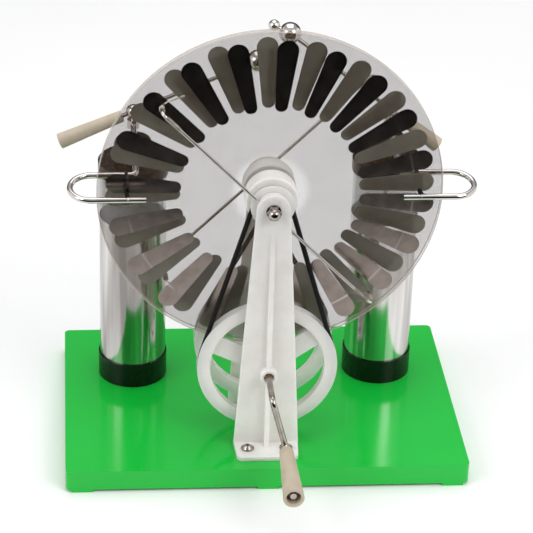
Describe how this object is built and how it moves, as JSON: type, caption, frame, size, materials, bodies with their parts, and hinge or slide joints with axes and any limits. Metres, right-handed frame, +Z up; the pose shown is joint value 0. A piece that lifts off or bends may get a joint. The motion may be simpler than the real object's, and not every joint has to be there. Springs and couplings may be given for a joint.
{
  "type": "wimshurst_machine",
  "caption": "Hand-cranked influence machine: counter-rotating foil-sectored discs driven by belts, with neutralisers, collectors, Leyden jars and swinging discharge rods.",
  "frame": {"origin": "centre of the base, on the surface the machine stands on", "axes": "X to the right seen from the crank, Y to the rear along the two axles, Z up"},
  "size_m": [0.3276, 0.3003, 0.3674],
  "materials": {
    "green_plastic": "smooth gloss green ABS",
    "white_nylon": "milky white moulded plastic",
    "plated_steel": "nickel-plated steel",
    "brass": "plain brass",
    "clear_acrylic": "clear acrylic, polished edge",
    "foil": "dull metal foil",
    "bright_foil": "bright aluminium foil, slightly wrinkled",
    "cream_plastic": "cream plastic",
    "black_rubber": "black rubber",
    "black_plastic": "gloss black plastic",
    "chrome": "bright chrome"
  },
  "bodies": {
    "frame": {"base": "green_plastic", "front_upright": "white_nylon", "rear_upright": "white_nylon", "upright_screws": "plated_steel", "jar_screws": "plated_steel", "disc_axle": "plated_steel", "axle_nuts": "plated_steel", "disc_spacer": "brass", "shaft_bushes": "brass", "front_belt": "black_rubber", "rear_belt": "black_rubber", "left_jar_cup": "black_plastic", "left_jar_tube": "clear_acrylic", "left_outer_foil": "bright_foil", "left_inner_foil": "bright_foil", "left_jar_lid": "black_plastic", "left_cap_nut": "black_plastic", "left_terminal": "chrome", "left_contact_rod": "plated_steel", "left_collector": "chrome", "left_collector_points": "black_rubber", "right_jar_cup": "black_plastic", "right_jar_tube": "clear_acrylic", "right_outer_foil": "bright_foil", "right_inner_foil": "bright_foil", "right_jar_lid": "black_plastic", "right_cap_nut": "black_plastic", "right_terminal": "chrome", "right_contact_rod": "plated_steel", "right_collector": "chrome", "right_collector_points": "black_rubber"},
    "front_disc_unit": {"front_disc": "clear_acrylic", "front_sectors": "foil", "front_hub": "white_nylon", "front_hub_bush": "brass"},
    "rear_disc_unit": {"rear_disc": "clear_acrylic", "rear_sectors": "foil", "rear_hub": "white_nylon", "rear_hub_bush": "brass"},
    "crank_unit": {"crank_shaft": "plated_steel", "front_drive_wheel": "white_nylon", "rear_drive_wheel": "white_nylon", "wheel_screws": "plated_steel", "shaft_collars": "plated_steel", "grip_retainer": "plated_steel"},
    "grip": {"crank_grip": "cream_plastic"},
    "front_neutraliser": {"front_neutraliser_collar": "white_nylon", "front_neutraliser_rod": "chrome", "front_brushes": "brass"},
    "rear_neutraliser": {"rear_neutraliser_collar": "white_nylon", "rear_neutraliser_rod": "chrome", "rear_brushes": "brass"},
    "left_discharger": {"left_terminal_head": "chrome", "left_electrode": "chrome", "left_electrode_handle": "cream_plastic"},
    "right_discharger": {"right_terminal_head": "chrome", "right_electrode": "chrome", "right_electrode_handle": "cream_plastic"}
  },
  "joints": [
    {"name": "crank_turn", "type": "hinge", "parent": "frame", "child": "crank_unit", "pos_m": [0, -0.0434, 0.0884], "axis": [0, -1, 0], "continuous": true},
    {"name": "front_disc_spin", "type": "hinge", "parent": "frame", "child": "front_disc_unit", "pos_m": [0, -0.0434, 0.2324], "axis": [0, -1, 0], "continuous": true},
    {"name": "rear_disc_spin", "type": "hinge", "parent": "frame", "child": "rear_disc_unit", "pos_m": [0, -0.0434, 0.2324], "axis": [0, -1, 0], "continuous": true},
    {"name": "grip_spin", "type": "hinge", "parent": "crank_unit", "child": "grip", "pos_m": [0.01165, -0.1263, 0.04493], "axis": [0, -1, 0], "continuous": true},
    {"name": "front_neutraliser_swivel", "type": "hinge", "parent": "frame", "child": "front_neutraliser", "pos_m": [0, -0.0722, 0.2324], "axis": [0, -1, 0], "range_deg": [-15, 15]},
    {"name": "rear_neutraliser_swivel", "type": "hinge", "parent": "frame", "child": "rear_neutraliser", "pos_m": [0, -0.0146, 0.2324], "axis": [0, -1, 0], "range_deg": [-15, 15]},
    {"name": "left_discharger_swing", "type": "hinge", "parent": "frame", "child": "left_discharger", "pos_m": [-0.104, 0.043, 0.2618], "axis": [0, 0, 1], "range_deg": [-12, 45]},
    {"name": "right_discharger_swing", "type": "hinge", "parent": "frame", "child": "right_discharger", "pos_m": [0.104, 0.043, 0.2618], "axis": [0, 0, -1], "range_deg": [-12, 45]}
  ],
  "couplings": [
    {"joint": "front_disc_spin", "follows": "crank_turn", "ratio": 4},
    {"joint": "rear_disc_spin", "follows": "crank_turn", "ratio": -4}
  ]
}
